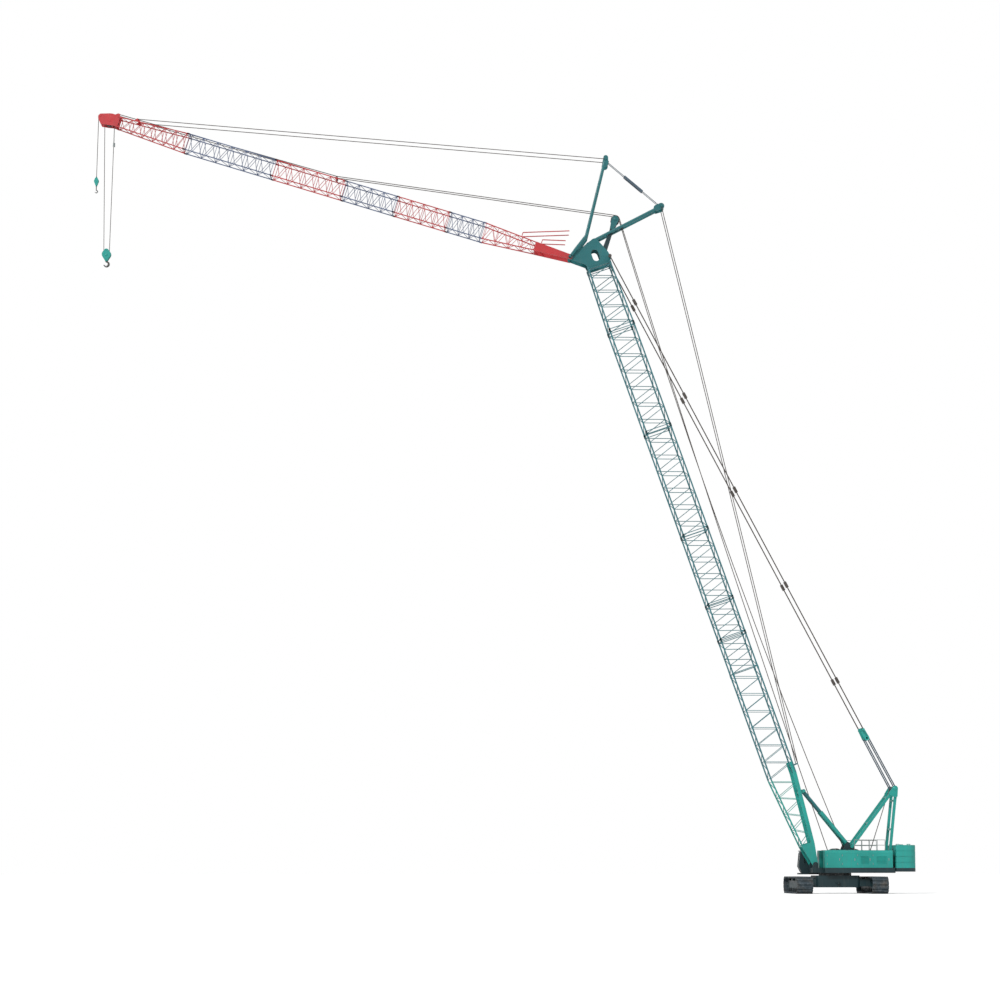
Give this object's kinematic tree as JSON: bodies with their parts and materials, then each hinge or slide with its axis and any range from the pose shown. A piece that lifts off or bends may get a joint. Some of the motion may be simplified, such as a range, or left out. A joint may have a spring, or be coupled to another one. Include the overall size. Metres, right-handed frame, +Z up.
{
  "type": "crawler crane with lattice boom and luffing jib, scale model at 1:2",
  "caption": "Lattice-boom crawler crane with a luffing jib, struts, stays, cab and counterweight, as a scale model at 1:2",
  "frame": {"origin": "on the ground at the slewing axis, midway between the tracks", "axes": "+Z up; the boom and jib lean to -X; the cab is on the +Y side; the tracks run along Y, with the upper works slewed across them"},
  "size_m": [33.9576, 4.4578, 32.4405],
  "materials": {
    "track_steel": "worn cast steel shoes, rollers and end wheels",
    "frame_paint": "dark blue-green paint on the frames",
    "ring_steel": "machined and greased steel",
    "house_paint": "teal machinery paint",
    "weight_paint": "teal paint on cast counterweights",
    "boom_paint": "faded blue-grey paint on the boom",
    "jib_red": "red paint on jib sections",
    "jib_grey": "pale slate paint on jib sections",
    "rope_steel": "greased wire rope",
    "rail_steel": "grey handrails",
    "engine_iron": "plain block in place of the engine",
    "cab_window": "tinted cab glass",
    "seat_cover": "black seat cover"
  },
  "bodies": {
    "undercarriage": {"carbody": "frame_paint", "slewing_ring": "ring_steel", "track_frame_left": "frame_paint", "track_frame_right": "frame_paint", "track_left": "track_steel", "track_right": "track_steel", "track_wheels_left": "track_steel", "track_wheels_right": "track_steel"},
    "upper": {"revolving_frame": "frame_paint", "house_left": "house_paint", "house_right": "house_paint", "engine_block": "engine_iron", "handrails": "rail_steel", "counterweight_base": "frame_paint", "counterweight_slabs": "weight_paint", "winch_frames": "frame_paint", "winch_drums": "ring_steel", "gantry_front_legs": "house_paint", "gantry_rear_legs": "house_paint", "gantry_head": "house_paint", "cab_shell": "house_paint", "cab_glass": "cab_window", "cab_seat": "seat_cover"},
    "cab_door": {"cab_door": "house_paint"},
    "boom": {"boom_base": "house_paint", "boom_insert_1": "boom_paint", "boom_insert_2": "boom_paint", "boom_insert_3": "boom_paint", "boom_insert_4": "boom_paint", "boom_insert_5": "boom_paint", "boom_insert_6": "boom_paint", "boom_top": "boom_paint", "boom_head": "house_paint", "boom_idler": "frame_paint", "rear_strut": "house_paint", "backstays": "rope_steel"},
    "jib": {"jib_base": "jib_red", "jib_insert_1": "jib_grey", "jib_insert_2": "jib_red", "jib_insert_3": "jib_grey", "jib_insert_4": "jib_red", "jib_insert_5": "jib_grey", "jib_tip": "jib_red", "jib_head": "jib_red", "jib_head_sheaves": "ring_steel", "front_strut": "house_paint", "jib_pendants": "rope_steel"},
    "stay_ropes": {"stay_reeving": "rope_steel"},
    "stay_pendants": {"bridle": "house_paint", "boom_pendants": "rope_steel"},
    "backstop_tubes": {"backstop_tubes": "frame_paint"},
    "backstop_rods": {"backstop_rods": "ring_steel"},
    "strut_ropes": {"strut_reeving_lower": "rope_steel"},
    "strut_link": {"strut_link": "ring_steel", "strut_reeving_upper": "rope_steel"},
    "strut_eye": {"strut_eye": "ring_steel"},
    "main_rope": {"main_hook_ropes": "rope_steel"},
    "main_hook": {"main_hook": "house_paint"},
    "aux_rope": {"aux_hook_rope": "rope_steel"},
    "aux_hook": {"aux_hook": "house_paint"}
  },
  "joints": [
    {"name": "slew", "type": "hinge", "parent": "undercarriage", "child": "upper", "pos_m": [0, 0, 0.833], "axis": [0, 0, 1], "continuous": true},
    {"name": "cab_door_swing", "type": "hinge", "parent": "upper", "child": "cab_door", "pos_m": [-0.835, 1.22, 1.255], "axis": [0, 0, 1], "range_deg": [-95, 0]},
    {"name": "boom_luff", "type": "hinge", "parent": "upper", "child": "boom", "pos_m": [-0.875, 0, 1.167], "axis": [0, 1, 0], "range_deg": [-10.6, 14.4]},
    {"name": "jib_luff", "type": "hinge", "parent": "boom", "child": "jib", "pos_m": [-10.87144, 0, 26.45856], "axis": [0, 1, 0], "range_deg": [-15, 24]},
    {"name": "stay_swing", "type": "hinge", "parent": "upper", "child": "stay_ropes", "pos_m": [2.433, 0, 4.267], "axis": [0, 1, 0], "range_deg": [-11.5, 15.5]},
    {"name": "stay_reeve", "type": "slide", "parent": "stay_ropes", "child": "stay_pendants", "axis": [-0.4649, 0, 0.8854], "range_m": [-1.1, 0.82], "deforming": ["stay_reeving"]},
    {"name": "backstop_swing", "type": "hinge", "parent": "upper", "child": "backstop_tubes", "pos_m": [0.479, 0, 2], "axis": [0, 1, 0], "range_deg": [-10.2, 13.8]},
    {"name": "backstop_slide", "type": "slide", "parent": "backstop_tubes", "child": "backstop_rods", "axis": [-0.6327, 0, 0.7744], "range_m": [-0.4, 0.3]},
    {"name": "strut_reeving_swing", "type": "hinge", "parent": "boom", "child": "strut_ropes", "pos_m": [-7.03534, 0, 28.70957], "axis": [0, 1, 0], "range_deg": [-8.3, 13.1]},
    {"name": "strut_link_slide", "type": "slide", "parent": "strut_ropes", "child": "strut_link", "axis": [-0.7627, 0, 0.6468], "range_m": [-0.9, 0.57], "deforming": ["strut_reeving_lower"]},
    {"name": "strut_eye_slide", "type": "slide", "parent": "strut_link", "child": "strut_eye", "axis": [-0.7627, 0, 0.6468], "range_m": [-0.9, 0.57], "deforming": ["strut_reeving_upper"]},
    {"name": "main_hook_swing", "type": "hinge", "parent": "jib", "child": "main_rope", "pos_m": [-30.2087, 0, 32.12394], "axis": [0, 1, 0], "range_deg": [-25, 16]},
    {"name": "main_hook_hoist", "type": "slide", "parent": "main_rope", "child": "main_hook", "axis": [0, 0, -1], "range_m": [-4.3, 12], "deforming": ["main_hook_ropes"]},
    {"name": "aux_hook_swing", "type": "hinge", "parent": "jib", "child": "aux_rope", "pos_m": [-30.57626, 0, 32.32668], "axis": [0, 1, 0], "range_deg": [-25, 16]},
    {"name": "aux_hook_hoist", "type": "slide", "parent": "aux_rope", "child": "aux_hook", "axis": [0, 0, -1], "range_m": [-0.6, 14], "deforming": ["aux_hook_rope"]}
  ],
  "couplings": [
    {"joint": "stay_swing", "follows": "boom_luff", "ratio": 1.055},
    {"joint": "stay_reeve", "follows": "boom_luff", "m_per_rad": -4.3545},
    {"joint": "backstop_swing", "follows": "boom_luff", "ratio": 0.9425},
    {"joint": "backstop_slide", "follows": "boom_luff", "m_per_rad": -1.547},
    {"joint": "strut_reeving_swing", "follows": "jib_luff", "ratio": 0.525},
    {"joint": "strut_link_slide", "follows": "jib_luff", "m_per_rad": -2.1199},
    {"joint": "strut_eye_slide", "follows": "jib_luff", "m_per_rad": -2.1199},
    {"joint": "main_hook_swing", "follows": "jib_luff", "ratio": -1},
    {"joint": "aux_hook_swing", "follows": "jib_luff", "ratio": -1}
  ]
}
